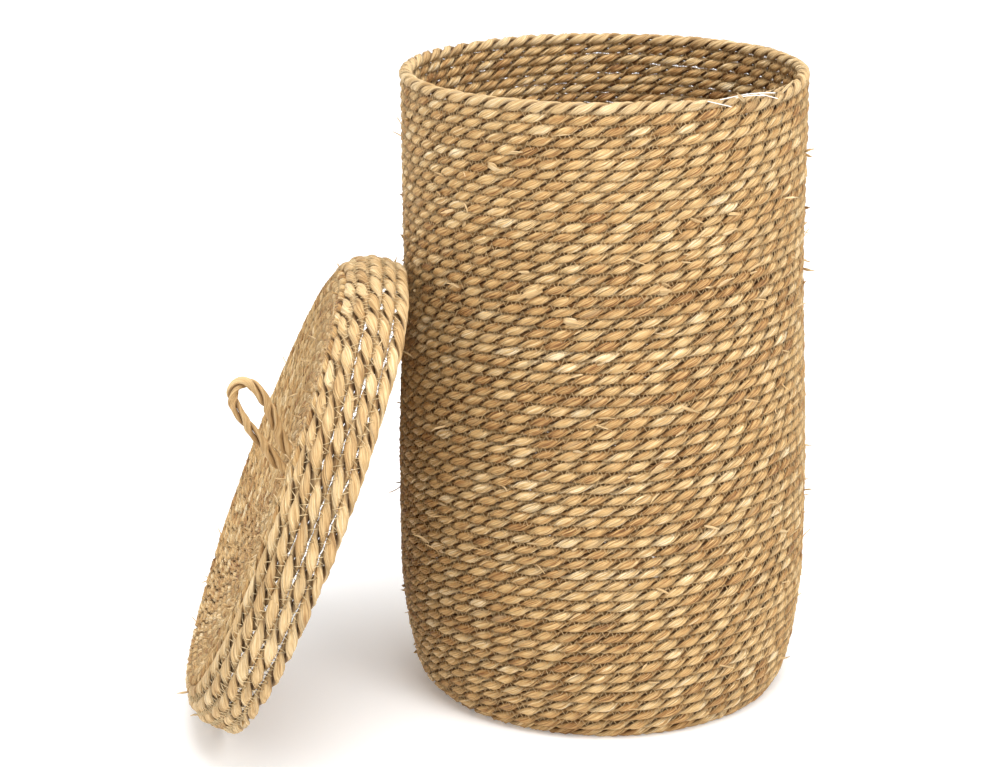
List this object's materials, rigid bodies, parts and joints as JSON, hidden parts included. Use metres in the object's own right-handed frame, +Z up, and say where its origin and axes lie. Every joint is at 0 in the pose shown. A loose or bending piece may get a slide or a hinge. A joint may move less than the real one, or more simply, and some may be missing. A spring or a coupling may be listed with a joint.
{
  "type": "laundry basket",
  "caption": "Tall round coiled-rope laundry basket, open at the top, with a loose shallow lid leaning on it and a twisted loop handle on the lid.",
  "frame": {"origin": "centre of the basket's underside, on the floor", "axes": "+Z up the basket's axis to its mouth; the lid leans on the -X side; +Y away from the viewer of the front"},
  "size_m": [0.5518, 0.4888, 0.555],
  "materials": {
    "leaf_coil": "dry twisted leaf rope, matt",
    "leaf_thick_rope": "thicker pale leaf rope, matt with a faint sheen",
    "leaf_base": "dry leaf rope, hidden side"
  },
  "bodies": {
    "basket": {"base_rope_inner": "leaf_base", "base_rope_outer": "leaf_base", "wall_rope_01": "leaf_coil", "wall_rope_02": "leaf_coil", "wall_rope_03": "leaf_coil", "wall_rope_04": "leaf_coil", "wall_rope_05": "leaf_coil", "wall_rope_06": "leaf_coil", "wall_rope_07": "leaf_coil", "wall_rope_08": "leaf_coil", "wall_rope_09": "leaf_coil", "wall_rope_10": "leaf_coil", "rim_rope": "leaf_thick_rope", "rim_rope_end": "leaf_thick_rope"},
    "lid": {"lid_top_rope_inner": "leaf_coil", "lid_top_rope_outer": "leaf_coil", "lid_skirt_rope_1": "leaf_thick_rope", "lid_skirt_rope_2": "leaf_thick_rope", "lid_skirt_rope_3": "leaf_thick_rope", "lid_skirt_rope_4": "leaf_thick_rope", "lid_skirt_rope_5": "leaf_thick_rope", "handle_knot": "leaf_base"},
    "handle": {"handle_strand_a": "leaf_thick_rope", "handle_strand_b": "leaf_thick_rope"}
  },
  "joints": [
    {"name": "lid_away", "type": "slide", "parent": "basket", "child": "lid", "axis": [-0.9214, -0.0677, 0.3827], "range_m": [0, 0.3]},
    {"name": "handle_swing", "type": "hinge", "parent": "lid", "child": "handle", "pos_m": [-0.28097, -0.09453, 0.23131], "axis": [0.3817, 0.028, 0.9239], "range_deg": [-75, 75]}
  ]
}
